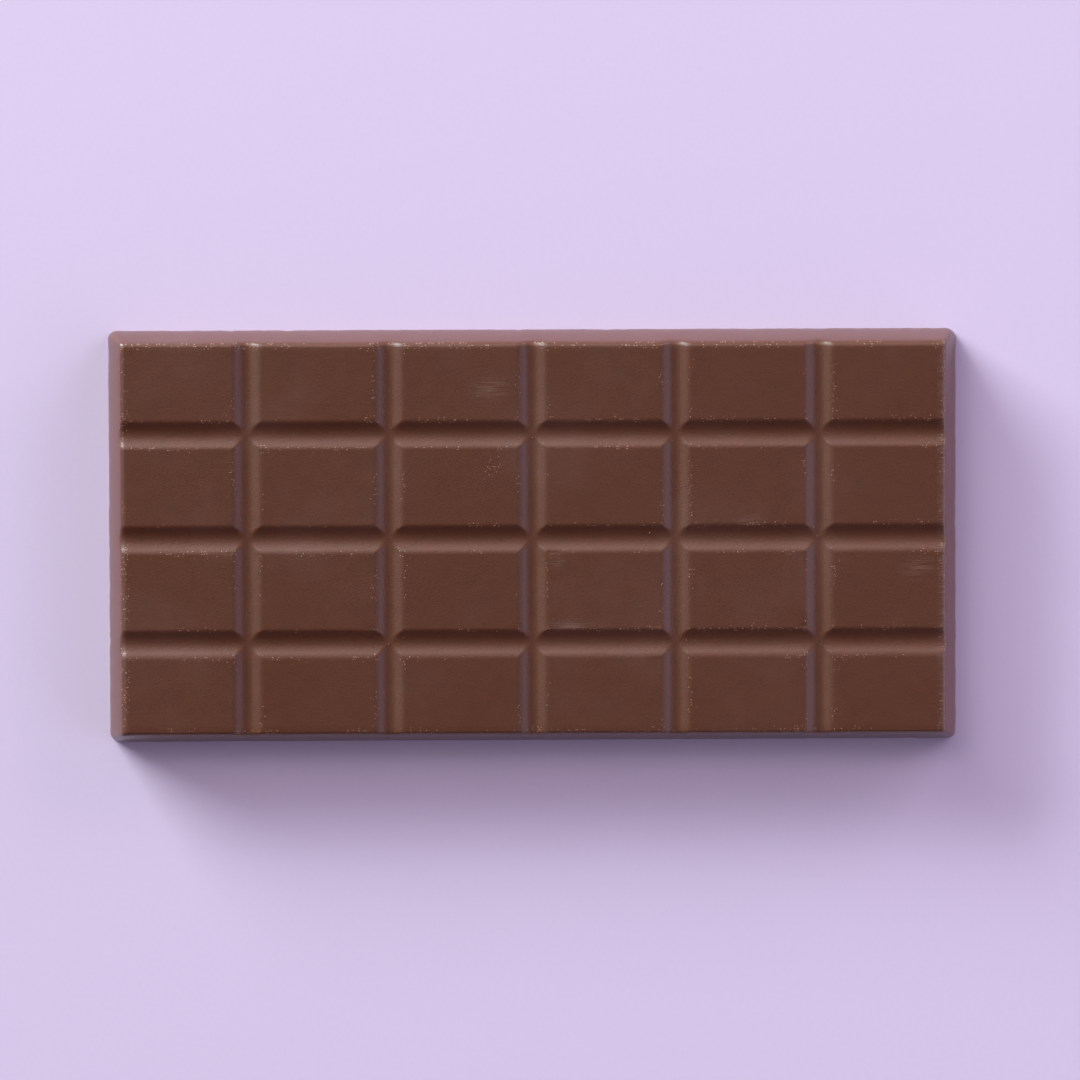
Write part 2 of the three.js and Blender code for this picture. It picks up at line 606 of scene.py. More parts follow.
@dataclass(frozen=True)
class MouldedMilkChocolate:
    """Tempered milk chocolate set against a polished mould.

    The cocoa butter at the skin sets smooth, so the eye sees an even brown with a satin
    sheen, faint cloudy patches of bloom, pinholes where air was caught along the edges, and
    light rub marks from handling. The rub colour also paints light: a lighter strip along the
    east top edge stands for the light that edge catches. Sizes in the patterns are in
    millimetres. Real sugar grains are about 0.03 mm wide, too fine to show, so the grain is
    drawn about ten times as coarse. Pinholes are 0.1 to 0.3 mm wide, with room for about two
    in a millimetre.
    """

    name: str = "moulded_milk_chocolate"
    brown: str = "5A2E16"
    brown_deep: str = "4F2812"
    bloom: str = "6E4F45"
    # Colour of the rub marks, and of the painted light strip along the east top edge.
    rub_and_edge_light: str = "7C6055"
    speck: str = "A5745A"
    bloom_strength: float = 0.09
    rub_and_edge_light_strength: float = 0.5
    speck_strength: float = 0.6
    roughness: float = 0.45
    roughness_range: tuple[float, float] = (-0.03, 0.04)
    streak_dulling: float = 0.15
    ior: float = 1.5
    skin: float = 0.85
    skin_roughness: float = 0.35
    cloud: Noise = Noise(16.0, 3.0)
    mottle: Noise = Noise(2.2, 4.0)
    grain: Noise = Noise(0.34, 2.0)
    grain_weight: float = 2.0
    shade_rise: Rise = Rise(0.9, 2.1)
    bloom_rise: Rise = Rise(0.5, 0.72)
    dull_rise: Rise = Rise(0.3, 0.7)
    pinhole_spacing: float = 0.45
    pinhole_rise: Rise = Rise(0.30, 0.14)
    chosen_rise: Rise = Rise(0.92, 0.96)
    rim_rise: Rise = Rise(0.1, 0.5)
    rim_crowding: float = 0.3
    streak_length: float = 5.0
    streak_width: float = 0.22
    streak_slant: float = math.radians(8)
    streak_detail: float = 2.0
    streak_rise: Rise = Rise(0.42, 0.60)
    wave_depth: float = 0.02 * MM
    grain_depth: float = 0.028 * MM
    pinhole_depth: float = 0.025 * MM

    def build(self) -> bpy.types.Material:
        """Builds the material from object coordinates scaled to millimetres.

        Returns:
            The finished material.
        """
        material, tree = new_material(self.name)
        place = add_node(tree, "ShaderNodeTexCoord").outputs["Object"]
        scaled = {"Vector": place, "Scale": (PER_MM,) * 3}
        place_mm = add_node(tree, "ShaderNodeMapping", inputs=scaled).outputs["Vector"]
        cloud, mottle, grain = (
            add_node(
                tree,
                "ShaderNodeTexNoise",
                inputs={"Vector": place_mm, "Scale": 1 / noise.size, "Detail": noise.detail},
            ).outputs["Fac"]
            for noise in (self.cloud, self.mottle, self.grain)
        )
        pinholes = self._pinholes(tree, place_mm)
        rubs_and_edge_light = self._rubs_and_edge_light(tree, place_mm)
        normal = self._relief(tree, mottle, grain, pinholes)
        shader = add_node(
            tree,
            "ShaderNodeBsdfPrincipled",
            inputs={
                "Base Color": self._colour(tree, cloud, mottle, grain, pinholes, rubs_and_edge_light),
                "Roughness": self._roughness(tree, cloud, rubs_and_edge_light),
                "Normal": normal,
                "IOR": self.ior,
                "Coat Weight": self.skin,
                "Coat Roughness": self.skin_roughness,
                "Coat IOR": self.ior,
                "Coat Normal": normal,
            },
        )
        add_node(tree, "ShaderNodeOutputMaterial", inputs={"Surface": shader.outputs["BSDF"]})
        return material

    def _masked(self, tree: bpy.types.NodeTree, *masks: tuple[Socket, Rise | None]) -> Socket:
        """Multiplies masks into one, each first sharpened along its rise where it has one.

        Args:
            tree: The material's node tree.
            masks: Pairs of a value and the rise that sharpens it.

        Returns:
            The product of all masks.
        """
        product: Socket | float = 1.0
        for value, rise in masks:
            if rise:
                value = add_node(
                    tree,
                    "ShaderNodeMapRange",
                    {"interpolation_type": "SMOOTHSTEP"},
                    {"Value": value, "From Min": rise.start, "From Max": rise.full},
                ).outputs["Result"]
            product = add_node(
                tree, "ShaderNodeMath", {"operation": "MULTIPLY"}, {0: product, 1: value}
            ).outputs["Value"]
        return product

    def _pinholes(self, tree: bpy.types.NodeTree, place_mm: Socket) -> Socket:
        """Marks pinholes: dots in some cells of a cell pattern, more of them where rim is high.

        Args:
            tree: The material's node tree.
            place_mm: Places in millimetres.

        Returns:
            1 in a pinhole and 0 outside.
        """
        cells = add_node(
            tree,
            "ShaderNodeTexVoronoi",
            {"voronoi_dimensions": "2D"},
            {"Vector": place_mm, "Scale": 1 / self.pinhole_spacing},
        )
        rim = add_node(tree, "ShaderNodeAttribute", {"attribute_name": "rim"}).outputs["Fac"]
        crowd = add_node(
            tree,
            "ShaderNodeMath",
            {"operation": "MULTIPLY_ADD"},
            {0: rim, 1: self.rim_crowding, 2: cells.outputs["Color"]},
        )
        dots = (cells.outputs["Distance"], self.pinhole_rise)
        chosen = (crowd.outputs["Value"], self.chosen_rise)
        return self._masked(tree, dots, chosen, (rim, self.rim_rise))

    def _rubs_and_edge_light(self, tree: bpy.types.NodeTree, place_mm: Socket) -> Socket:
        """Marks rub marks and the painted light strip along the east top edge: noise drawn out along the
        bar, only in their listed patches.

        Args:
            tree: The material's node tree.
            place_mm: Places in millimetres.

        Returns:
            1 in the middle of a mark and 0 outside.
        """
        drawn_out = {
            "Vector": place_mm,
            "Rotation": (0, 0, self.streak_slant),
            "Scale": (1 / self.streak_length, 1 / self.streak_width, 1),
        }
        along = add_node(tree, "ShaderNodeMapping", inputs=drawn_out).outputs["Vector"]
        lines = {"Vector": along, "Scale": 1.0, "Detail": self.streak_detail}
        streaks = add_node(tree, "ShaderNodeTexNoise", inputs=lines).outputs["Fac"]
        rub_and_edge_light = add_node(tree, "ShaderNodeAttribute", {"attribute_name": "rub_and_edge_light"}).outputs["Fac"]
        return self._masked(tree, (streaks, self.streak_rise), (rub_and_edge_light, None))

    def _colour(
        self,
        tree: bpy.types.NodeTree,
        cloud: Socket,
        mottle: Socket,
        grain: Socket,
        pinholes: Socket,
        rubs_and_edge_light: Socket,
    ) -> Socket:
        """Lays colours over the deep brown: the brown, bloom, rub marks with the painted light strip
        along the east top edge, and pinholes.

        Args:
            tree: The material's node tree.
            cloud: Slow noise, which says where bloom lies.
            mottle: Noise a few millimetres wide.
            grain: The finest noise, which with the mottle says how deep the brown is.
            pinholes: 1 in a pinhole.
            rubs_and_edge_light: 1 in a rub mark and in the painted light strip.

        Returns:
            The colour.
        """
        uneven = add_node(
            tree,
            "ShaderNodeMath",
            {"operation": "MULTIPLY_ADD"},
            {0: grain, 1: self.grain_weight, 2: mottle},
        ).outputs["Value"]
        layers = (
            (self._masked(tree, (uneven, self.shade_rise)), 1.0, self.brown),
            (self._masked(tree, (cloud, self.bloom_rise)), self.bloom_strength, self.bloom),
            # The rub colour also paints light: it lightens a strip along the east top edge.
            (rubs_and_edge_light, self.rub_and_edge_light_strength, self.rub_and_edge_light),
            (pinholes, self.speck_strength, self.speck),
        )
        colour: Socket | tuple[float, ...] = linear(self.brown_deep)
        for mask, strength, layer in layers:
            share = add_node(tree, "ShaderNodeMath", {"operation": "MULTIPLY"}, {0: mask, 1: strength})
            colour = add_node(
                tree,
                "ShaderNodeMix",
                {"data_type": "RGBA"},
                {0: share.outputs["Value"], 6: colour, 7: linear(layer)},
            ).outputs[2]
        return colour

    def _roughness(self, tree: bpy.types.NodeTree, cloud: Socket, rubs_and_edge_light: Socket) -> Socket:
        """Makes bloomed patches, rub marks and the painted light strip along the east top edge a little
        duller than the rest.

        Args:
            tree: The material's node tree.
            cloud: Slow noise, which says where bloom lies.
            rubs_and_edge_light: 1 in a rub mark and in the painted light strip.

        Returns:
            The roughness.
        """
        base = add_node(
            tree,
            "ShaderNodeMapRange",
            inputs={
                "Value": cloud,
                "From Min": self.dull_rise.start,
                "From Max": self.dull_rise.full,
                "To Min": self.roughness + self.roughness_range[0],
                "To Max": self.roughness + self.roughness_range[1],
            },
        )
        return add_node(
            tree,
            "ShaderNodeMath",
            {"operation": "MULTIPLY_ADD"},
            {0: rubs_and_edge_light, 1: self.streak_dulling, 2: base.outputs["Result"]},
        ).outputs["Value"]

    def _relief(
        self, tree: bpy.types.NodeTree, mottle: Socket, grain: Socket, pinholes: Socket
    ) -> Socket:
        """Lays a slow waviness, a fine grain and the sunken pinholes over each other.

        Args:
            tree: The material's node tree.
            mottle: Height of the waviness.
            grain: Height of the grain.
            pinholes: 1 in a pinhole.

        Returns:
            The normal of the skin.
        """
        inputs: dict[str | int, Any] = {}
        for height, depth, sunken in (
            (mottle, self.wave_depth, False),
            (grain, self.grain_depth, False),
            (pinholes, self.pinhole_depth, True),
        ):
            inputs |= {"Height": height, "Distance": depth}
            bump = add_node(tree, "ShaderNodeBump", {"invert": sunken}, inputs)
            inputs["Normal"] = bump.outputs["Normal"]
        return inputs["Normal"]


@dataclass(frozen=True)
class TwoToneFinish:
    """A matt finish of two close colours in a fine noise, which may also roughen it.

    The noise's size and the relief's depth are in millimetres.
    """

    name: str
    deep: str
    pale: str
    noise: Noise
    roughness: float
    gloss: float
    relief: float = 0.0

    def build(self) -> bpy.types.Material:
        """Builds the material from object coordinates.

        Returns:
            The finished material.
        """
        material, tree = new_material(self.name)
        place = add_node(tree, "ShaderNodeTexCoord").outputs["Object"]
        scale = PER_MM / self.noise.size
        grit = add_node(
            tree,
            "ShaderNodeTexNoise",
            inputs={"Vector": place, "Scale": scale, "Detail": self.noise.detail},
        ).outputs["Fac"]
        colour = add_node(
            tree,
            "ShaderNodeMix",
            {"data_type": "RGBA"},
            {0: grit, 6: linear(self.deep), 7: linear(self.pale)},
        )
        inputs = {
            "Base Color": colour.outputs[2],
            "Roughness": self.roughness,
            "Specular IOR Level": self.gloss,
        }
        if self.relief:
            raised = {"Height": grit, "Distance": self.relief * MM}
            inputs["Normal"] = add_node(tree, "ShaderNodeBump", inputs=raised).outputs["Normal"]
        shader = add_node(tree, "ShaderNodeBsdfPrincipled", inputs=inputs)
        add_node(tree, "ShaderNodeOutputMaterial", inputs={"Surface": shader.outputs["BSDF"]})
        return material


# Milk chocolate with a broken surface, as on a crumb. The break is full of tiny facets of
# sugar and cocoa butter, so it looks paler and duller than the moulded skin.
BROKEN_MILK_CHOCOLATE = TwoToneFinish(
    name="broken_milk_chocolate",
    deep="64463A",
    pale="90776A",
    noise=Noise(0.08, 2.0),
    roughness=0.85,
    gloss=0.2,
    relief=0.02,
)

# Pale lilac paper, calendered smooth: it looks matt and even, with a barely visible tooth.
# A real tooth is about 0.1 mm wide, too fine to show, so it is drawn eight times as coarse.
SMOOTH_PAPER = TwoToneFinish(
    name="smooth_lilac_paper",
    deep="D6C8E4",
    pale="DACCE7",
    noise=Noise(0.8, 3.0),
    roughness=0.9,
    gloss=0.1,
)


@dataclass(frozen=True)
class Patch:
    """A patch of the surface, as an ellipse: its middle and its half sizes along and across."""

    x: float
    y: float
    half_length: float
    half_width: float


@dataclass(frozen=True)
class ChocolateBar:
    """The bar: a grid over the top, rings down the sides and a grid over the back.

    The radii of a side's top edge run evenly from its west or south end to the other. The back's
    corner radii are listed in the order of the sides that they follow. The edge is ragged up to
    ragged_top, and fully from ragged_full down. The back is level as far in as back_level_rim.
    """

    low: Vector
    high: Vector
    relief: TopRelief
    sides: SideForm = SideForm()
    flat_step: float = 1.5 * MM
    grid_margin: float = 0.05 * MM
    corner_steps: int = 10
    east_edges: tuple[float, ...] = mm(0.95, 0.95)
    north_edges: tuple[float, ...] = mm(0.85, 1.2, 1.28, 1.35, 1.4)
    west_edges: tuple[float, ...] = mm(1.35, 1.2, 1.0, 0.95)
    south_edges: tuple[float, ...] = mm(1.25, 1.1, 0.85)
    back_corners: tuple[float, ...] = mm(2.0, 1.6, 1.9, 1.4)
    ragged_depth: float = 0.07 * MM
    ragged_slow: Ripples = Ripples(9 * MM, seed=3)
    ragged_quick: Ripples = Ripples(2.4 * MM, seed=4)
    ragged_top: float = 1.6 * MM
    ragged_full: float = 0.4 * MM
    chips: int = 14
    chip_seed: int = 21
    chip_size: tuple[float, ...] = mm(0.5, 1.1)
    chip_depth: tuple[float, ...] = mm(0.04, 0.13)
    back_sag: float = 0.06 * MM
    back_ripples: Ripples = Ripples(14 * MM, seed=8)
    back_level_rim: float = 4 * MM
    back_full_sag: float = 9 * MM
    clusters: Ripples = Ripples(11 * MM, seed=12)
    cluster_rise: Rise = Rise(-0.8, 0.6)
    spot_weight: float = 2.0
    rub_marks_and_edge_light: tuple[Patch, ...] = (
        Patch(*mm(6.9, -16.3, 3.6, 0.5)),
        Patch(*mm(4.2, -4.4, 1.1, 0.8)),
        Patch(*mm(39.5, 2.6, 1.8, 0.5)),
        Patch(*mm(70.0, -5.8, 2.4, 1.4)),
        Patch(*mm(-8.0, 27.0, 2.6, 1.4)),
        # Painted light, not a rub mark: this long strip lightens the east top edge to stand for the
        # light that edge catches.
        Patch(*mm(74.6, 4.0, 0.4, 42.0)),
    )
    rough_spots: tuple[Patch, ...] = (
        Patch(*mm(74.7, 31.0, 0.8, 4.0)),
        Patch(*mm(-74.6, -29.5, 0.5, 4.0)),
        Patch(*mm(-7.5, 13.0, 1.2, 2.2)),
    )

    def build(self, finish: MouldedMilkChocolate) -> bpy.types.Object:
        """Builds the bar, marks its rims, its rub marks and its painted light strip, and dresses it.

        Args:
            finish: The chocolate that it is made of.

        Returns:
            The finished piece.
        """
        lines_x, lines_y = self._lines()
        grid_x, grid_y = (axis.ravel() for axis in np.meshgrid(lines_x, lines_y, indexing="ij"))
        drop = self.relief.drop(grid_x, grid_y)
        top = np.column_stack([grid_x, grid_y, self.high.z - drop])
        back = np.column_stack([grid_x, grid_y, self._back_height(grid_x, grid_y)])
        rim = self._rim(lines_x, lines_y)
        rings = self._rings(rim, top[rim.anchor, 2])
        points = np.concatenate([top, rings.reshape(-1, 3), back])
        faces = self._faces(len(lines_x), len(lines_y), rim, len(rings))
        piece = new_piece("moulded_bar", points, faces)
        self._mark(piece, points, len(top), rim)
        piece.data.materials.append(finish.build())
        return piece

    def _half_sizes(self) -> tuple[float, float]:
        """Half the length and half the width of the bar's box."""
        return (self.high.x - self.low.x) / 2, (self.high.y - self.low.y) / 2

    def _lines(self) -> tuple[Array, Array]:
        """Places the grid's lines, which end inside the top edge wherever that is widest.

        Returns:
            The rising places along the bar and across it.
        """
        half_x, half_y = self._half_sizes()
        widest = max(self.east_edges + self.north_edges + self.west_edges + self.south_edges)
        height = self.high.z - self.low.z
        inset = float(self.sides.top_inset(np.array(height), np.array(widest)))
        margin = self.sides.top_corner_radius + self.grid_margin
        span_x = half_x - inset * self.sides.end_lean - margin
        span_y = half_y - inset * self.sides.side_lean - margin
        return (
            self.relief.across.lines(span_x, self.flat_step),
            self.relief.along.lines(span_y, self.flat_step),
        )

    def _back_height(self, x: Array, y: Array) -> Array:
        """Lifts the back in slow ripples of up to back_sag, and not at all near its edge.

        Args:
            x: Places along the bar.
            y: Places across it.

        Returns:
            The height of the back at each place.
        """
        half_x, half_y = self._half_sizes()
        inward = np.minimum(half_x - np.abs(x), half_y - np.abs(y))
        sag = self.back_sag * np.clip(self.back_ripples.share(x, y), 0, 1)
        return self.low.z + sag * smooth_step(inward, self.back_level_rim, self.back_full_sag)

    def _edge_radii(self, side: Side, places: Array) -> Array:
        """Interpolates the top edge's radius evenly along one side.

        Args:
            side: The side.
            places: Places along it, in x or y.

        Returns:
            The radius at each place.
        """
        radii = {
            Side.EAST: self.east_edges,
            Side.NORTH: self.north_edges,
            Side.WEST: self.west_edges,
            Side.SOUTH: self.south_edges,
        }[side]
        half_x, half_y = self._half_sizes()
        half = half_y if side in (Side.EAST, Side.WEST) else half_x
        return np.interp(places, np.linspace(-half, half, len(radii)), radii)

    def _rim(self, lines_x: Array, lines_y: Array) -> Rim:
        """Lists the places of the rim: each side's lines, then the corner that follows it.

        Args:
            lines_x: The grid's places along the bar.
            lines_y: The grid's places across it.

        Returns:
            The rim, whose anchors are the grid's border vertices.
        """
        count_x, count_y = len(lines_x), len(lines_y)
        numbers = np.arange(count_x * count_y).reshape(count_x, count_y)
        borders = {
            Side.EAST: (numbers[-1, :], lines_y),
            Side.NORTH: (numbers[::-1, -1], lines_x[::-1]),
            Side.WEST: (numbers[0, ::-1], lines_y[::-1]),
            Side.SOUTH: (numbers[:, 0], lines_x),
        }
        columns: list[list[Array]] = []
        steps = self.corner_steps + 1
        for side in Side:
            anchor, places = borders[side]
            following = Side((side.value + 1) % len(Side))
            radii = self._edge_radii(side, places)
            next_radius = self._edge_radii(following, borders[following][1][:1])[0]
            turn = np.append(0 * places, np.linspace(0, math.pi / 2, steps))
            fixed = np.append(places, np.full(steps, np.nan))
            free = np.full(len(fixed), np.nan)
            upright = side in (Side.EAST, Side.WEST)
            sign_x, sign_y = self._corner_signs(side)
            columns.append([
                np.append(anchor, np.full(steps, anchor[-1])),
                side.value * math.pi / 2 + turn,
                np.full(len(fixed), sign_x),
                np.full(len(fixed), sign_y),
                free if upright else fixed,
                fixed if upright else free,
                np.append(radii, np.linspace(radii[-1], next_radius, steps)),
                np.full(len(fixed), self.back_corners[side.value]),
            ])
        joined = [np.concatenate(values) for values in zip(*columns)]
        return Rim(joined[0].astype(int), *joined[1:])

    def _corner_signs(self, side: Side) -> tuple[float, float]:
        """Gives the quadrant of the corner that follows a side, as the signs of x and y."""
        middle = side.value * math.pi / 2 + math.pi / 4
        return math.copysign(1, math.cos(middle)), math.copysign(1, math.sin(middle))

    def _rings(self, rim: Rim, top_height: Array) -> Array:
        """Works out the rings from the flat top down the sides and in under the back.

        A place lies where the outline at its height faces its angle: the corner's middle is
        the half size less the inset and the corner's radius, and the corner turns about it.

        Args:
            rim: The places round the bar.
            top_height: Height of the top at each place.

        Returns:
            Points with one row for each ring, one column for each place, and x, y and z.
        """
        half_x, half_y = self._half_sizes()
        insets, heights = self.sides.profile(top_height, rim.edge_radius)
        below = np.array(self.sides.back_insets)[:, None] + 0 * top_height
        insets = np.concatenate([insets, below])
        heights = np.concatenate([heights, 0 * below])
        insets = insets + self._raggedness(rim) * smooth_step(heights, self.ragged_top, self.ragged_full)
        share = np.clip(heights / (self.high.z - self.low.z), 0, 1)
        radius = rim.corner_radius + share * (self.sides.top_corner_radius - rim.corner_radius)
        tucked_in = np.where(heights > 0, 0, insets - self.sides.back_edge_radius)
        radius = np.maximum(radius - tucked_in, self.sides.least_corner_radius)
        middle_x = rim.sign_x * (half_x - insets * self.sides.end_lean - radius)
        side_lean = np.where(rim.sign_y < 0, self.sides.south_lean, self.sides.side_lean)
        middle_y = rim.sign_y * (half_y - insets * side_lean - radius)
        x = middle_x + radius * np.cos(rim.angle)
        y = middle_y + radius * np.sin(rim.angle)
        x = np.where(np.isnan(rim.fixed_x), x, rim.fixed_x)
        y = np.where(np.isnan(rim.fixed_y), y, rim.fixed_y)
        return np.stack([x, y, self.low.z + heights], axis=-1)

    def _raggedness(self, rim: Rim) -> Array:
        """Draws the back edge in a little, in ripples and in a few bell-shaped chips.

        Args:
            rim: The places round the bar.

        Returns:
            How far in the back edge lies at each place, 0 or more.
        """
        half_x, half_y = self._half_sizes()
        x = np.where(np.isnan(rim.fixed_x), rim.sign_x * half_x, rim.fixed_x)
        y = np.where(np.isnan(rim.fixed_y), rim.sign_y * half_y, rim.fixed_y)
        ripple = self.ragged_slow.share(x, y) + self.ragged_quick.share(x, y) - 0.5
        draw = np.random.default_rng(self.chip_seed)
        place = draw.integers(0, len(x), self.chips)
        size = draw.uniform(*self.chip_size, self.chips)
        depth = draw.uniform(*self.chip_depth, self.chips)
        apart = (x[:, None] - x[place]) ** 2 + (y[:, None] - y[place]) ** 2
        chips = (depth * np.exp(-apart / size**2)).max(axis=1)
        return self.ragged_depth * np.clip(ripple, 0, 1) + chips

    def _faces(self, count_x: int, count_y: int, rim: Rim, rings: int) -> list[list[int]]:
        """Joins the vertices: the top, the rings, and the back with its faces turned round.

        Args:
            count_x: Lines of the grid along the bar.
            count_y: Lines of the grid across it.
            rim: The places round the bar.
            rings: How many rings there are.

        Returns:
            The vertices of each face.
        """
        numbers = np.arange(count_x * count_y).reshape(count_x, count_y)
        grid = np.stack(
            [numbers[:-1, :-1], numbers[1:, :-1], numbers[1:, 1:], numbers[:-1, 1:]], axis=-1
        ).reshape(-1, 4)
        places = len(rim.anchor)
        ring = numbers.size + np.arange(rings * places).reshape(rings, places)
        back_start = numbers.size + ring.size
        after = np.roll(ring, -1, axis=1)
        anchor, next_anchor = rim.anchor, np.roll(rim.anchor, -1)
        apart = anchor != next_anchor
        top_band = np.stack([ring[0], after[0], next_anchor, anchor], axis=-1)
        back_band = np.stack(
            [anchor + back_start, next_anchor + back_start, after[-1], ring[-1]], axis=-1
        )
        quads = np.concatenate(
            [grid, bands_between(ring), top_band[apart], back_band[apart], grid[:, ::-1] + back_start]
        )
        fans = np.concatenate([top_band[~apart][:, :3], back_band[~apart][:, 1:]])
        return quads.tolist() + fans.tolist()

    def _mark(self, piece: bpy.types.Object, points: Array, grid_size: int, rim: Rim) -> None:
        """Stores where the rims are, and where the top has rub marks and the painted light strip along
        the east edge, for the finish to read.

        Args:
            piece: The bar.
            points: Its vertices.
            grid_size: How many of them are in the top's grid.
            rim: The places round the bar.
        """
        x, y = points[:, 0], points[:, 1]
        on_top = np.arange(len(points)) < grid_size
        edge = np.where(on_top, self.relief.rim(x, y), 0)
        upper = slice(grid_size, grid_size + self.sides.edge_steps * len(rim.anchor))
        edge[upper] = 1
        crowding = smooth_step(self.clusters.at(x, y), self.cluster_rise.start, self.cluster_rise.full)
        moulded = edge + on_top > 0
        spots = self.spot_weight * self._patches(self.rough_spots, x, y) * moulded
        rough = np.maximum(edge * crowding, spots)
        # Rub marks, and the painted light strip along the east top edge.
        rub_and_edge_light = self._patches(self.rub_marks_and_edge_light, x, y) * moulded
        for name, values in (("rim", rough), ("rub_and_edge_light", rub_and_edge_light)):
            attribute = piece.data.attributes.new(name, "FLOAT", "POINT")
            attribute.data.foreach_set("value", values.astype(np.float32))

    def _patches(self, patches: tuple[Patch, ...], x: Array, y: Array) -> Array:
        """Gives how far each place lies within any patch: 1 at a middle, falling like a bell.

        Args:
            patches: The patches.
            x: Places along the bar.
            y: Places across it.

        Returns:
            The highest bell at each place.
        """
        shape = np.array([[p.x, p.y, p.half_length, p.half_width] for p in patches]).T
        along, across = (x[:, None] - shape[0]) / shape[2], (y[:, None] - shape[1]) / shape[3]
        return np.exp(-(along**2 + across**2)).max(axis=1)


@dataclass(frozen=True)
class Crumbs:
    """Crumbs that lie in the grooves: small lumps, each a sphere with uneven bulges.

    The runs are how far they lie from a crossing, across a groove and along it, and stand is
    how high a crumb's middle lies above the groove, as a share of its radius.
    """

    relief: TopRelief
    top: float
    count: int = 20
    smallest: float = 0.06 * MM
    largest: float = 0.15 * MM
    size_power: float = 0.6
    stand: float = 0.5
    across_run: float = 0.825 * MM
    across_most: float = 1.65 * MM
    along_run: float = 3.5 * MM
    bulge: float = 0.3
    ripple: float = 0.15
    flatness: float = 0.75
    rings: int = 5
    turns: int = 8
    seed: int = 33

    def build(self, finish: TwoToneFinish) -> bpy.types.Object:
        """Builds all crumbs as one piece and dresses it.

        Args:
            finish: What their broken surface looks like.

        Returns:
            The finished piece.
        """
        draw = np.random.default_rng(self.seed)
        share = draw.power(self.size_power, self.count)
        radius = self.smallest + (self.largest - self.smallest) * share
        x, y = self._places(draw)
        height = self.top - self.relief.drop(x, y) + self.stand * radius
        shape = self._lumps(draw)
        points = shape * radius[:, None, None] + np.column_stack([x, y, height])[:, None, :]
        piece = new_piece("groove_crumbs", points.reshape(-1, 3), self._faces())
        piece.data.materials.append(finish.build())
        return piece

    def _places(self, draw: np.random.Generator) -> tuple[Array, Array]:
        """Scatters the crumbs about the floors of the grooves, in loose groups at crossings.

        Args:
            draw: Where the random numbers come from.

        Returns:
            Where each crumb lies along the bar and across it.
        """
        crossing_x = draw.choice(self.relief.across.centres(), self.count)
        crossing_y = draw.choice(self.relief.along.centres(), self.count)
        runs_across = draw.random(self.count) < 0.5
        short = draw.normal(0, self.across_run, self.count).clip(-self.across_most, self.across_most)
        long = draw.normal(0, self.along_run, self.count)
        x = crossing_x + np.where(runs_across, short, long)
        y = crossing_y + np.where(runs_across, long, short)
        return x, y

    def _lumps(self, draw: np.random.Generator) -> Array:
        """Works out each lump about its own middle.

        The radius at tilt a and turn b is 1 + bulge sin(2a + p) cos(2b + q) + ripple cos(3b + r),
        with p, q and r drawn for each lump. The two poles are single points.

        Args:
            draw: Where the random numbers come from.

        Returns:
            One row for each crumb, with its ring points and then its two poles.
        """
        tilt = (np.arange(1, self.rings + 1) * math.pi / (self.rings + 1))[:, None]
        turn = (np.arange(self.turns) * 2 * math.pi / self.turns)[None, :]
        p, q, r = draw.uniform(0, 2 * math.pi, (3, self.count, 1, 1))
        bulges = self.bulge * np.sin(2 * tilt + p) * np.cos(2 * turn + q)
        size = 1 + bulges + self.ripple * np.cos(3 * turn + r)
        x = size * np.sin(tilt) * np.cos(turn)
        y = size * np.sin(tilt) * np.sin(turn)
        z = self.flatness * size * np.cos(tilt)
        ring_points = np.stack([x, y, z], axis=-1).reshape(self.count, -1, 3)
        poles = np.tile([[0.0, 0.0, self.flatness], [0.0, 0.0, -self.flatness]], (self.count, 1, 1))
        return np.concatenate([ring_points, poles], axis=1)

    def _faces(self) -> list[list[int]]:
        """Joins each lump's rings and closes its poles with fans.

        Returns:
            The vertices of each face of all lumps.
        """
        ring = np.arange(self.rings * self.turns).reshape(self.rings, self.turns)
        after = np.roll(ring, -1, axis=1)
        top, bottom = self.rings * self.turns, self.rings * self.turns + 1
        cap = np.stack([ring[0], after[0], np.full(self.turns, top)], axis=-1)
        base = np.stack([after[-1], ring[-1], np.full(self.turns, bottom)], axis=-1)
        start = (np.arange(self.count) * (bottom + 1))[:, None, None]
        quads = (bands_between(ring)[None] + start).reshape(-1, 4)
        fans = (np.concatenate([cap, base])[None] + start).reshape(-1, 3)
        return quads.tolist() + fans.tolist()


@dataclass(frozen=True)
class Softbox:
    """A wide soft light that faces the bar: its direction, distance, size and strength.

    The share is how much of full daylight on level ground it gives. Angles are in degrees.
    Azimuth 0 is north, +Y, and grows to the east, +X.
    """

    name: str
    azimuth: float
    elevation: float
    distance: float
    width: float
    height: float
    share: float
    colour: str

    def place(self) -> bpy.types.Object:
        """Puts the light in the scene.

        Light falls on level ground as power / (pi d^2) times the sine of the elevation, and a
        share of 1 is pi, at which a white surface shows as white.

        Returns:
            The light.
        """
        azimuth, elevation = math.radians(self.azimuth), math.radians(self.elevation)
        towards = Vector((
            math.sin(azimuth) * math.cos(elevation),
            math.cos(azimuth) * math.cos(elevation),
            math.sin(elevation),
        ))
        data = bpy.data.lights.new(self.name, "AREA")
        data.shape = "RECTANGLE"
        data.size, data.size_y = self.width, self.height
        data.energy = self.share * math.pi**2 * self.distance**2 / math.sin(elevation)
        data.color = linear(self.colour)[:3]
        light = bpy.data.objects.new(self.name, data)
        light.location = towards * self.distance
        light.rotation_euler = towards.to_track_quat("Z", "Y").to_euler()
        light.visible_camera = False
        bpy.context.scene.collection.objects.link(light)
        return light


